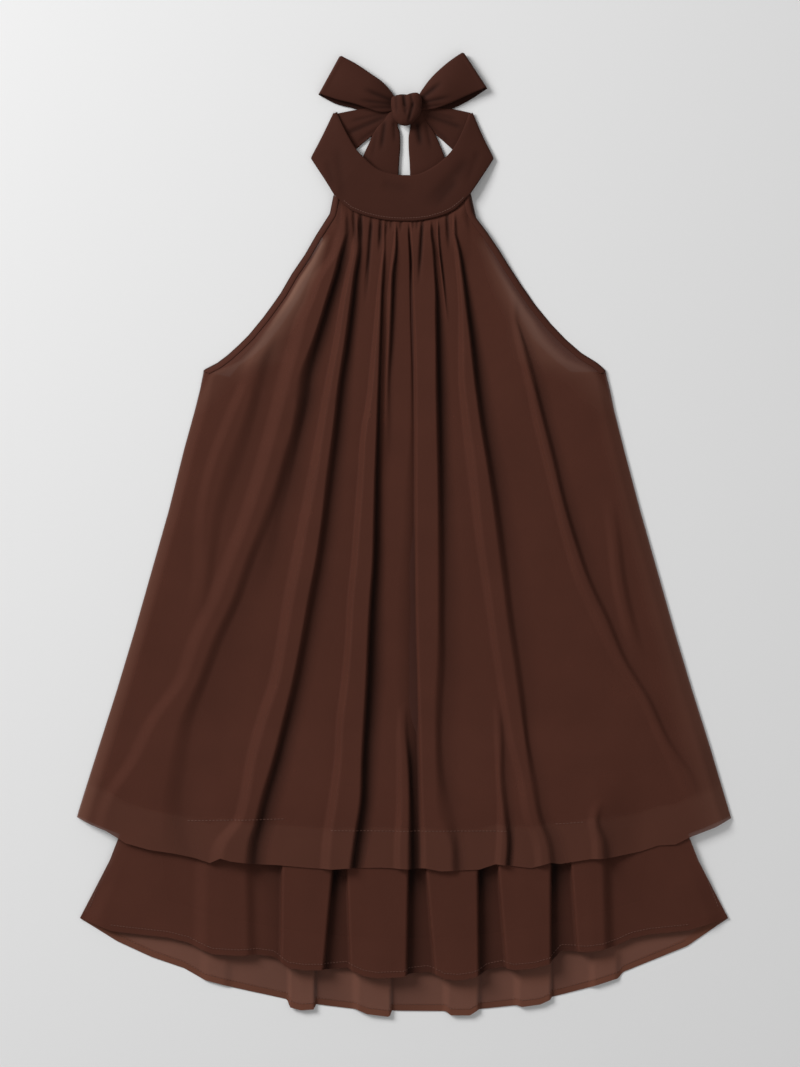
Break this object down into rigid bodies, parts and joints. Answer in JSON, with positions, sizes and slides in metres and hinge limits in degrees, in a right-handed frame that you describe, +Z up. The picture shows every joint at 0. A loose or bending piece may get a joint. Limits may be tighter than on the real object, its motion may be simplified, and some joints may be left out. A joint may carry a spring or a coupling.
{
  "type": "halter mini dress",
  "caption": "Gathered halter mini dress with a turned neckband, a bow at the back of the neck and a box-folded lower tier, laid flat.",
  "frame": {"origin": "centre of the bounding box on the surface that the dress lies on", "axes": "+X to the right of the picture, +Y from the hem to the neck, +Z up from the surface, out of the dress's front"},
  "size_m": [0.655, 0.9618, 0.024],
  "materials": {
    "chiffon": "matt dark brown chiffon with a fine crinkle",
    "chiffon_hem": "matt dark brown chiffon, several layers folded over",
    "lining": "smooth dark brown lining",
    "band": "matt dark brown chiffon, doubled"
  },
  "bodies": {
    "root": {"outer_front": "chiffon", "outer_back": "chiffon", "tier_front": "chiffon", "tier_back": "chiffon", "slip_front": "lining", "slip_back": "lining", "armhole_binding_left": "chiffon_hem", "armhole_binding_right": "chiffon_hem", "neckband_front": "band", "neckband_back_left": "band", "neckband_back_right": "band", "bow_knot": "band", "bow_loop_left": "band", "bow_loop_right": "band", "tie_tail_left": "band", "tie_tail_right": "band"}
  },
  "joints": []
}
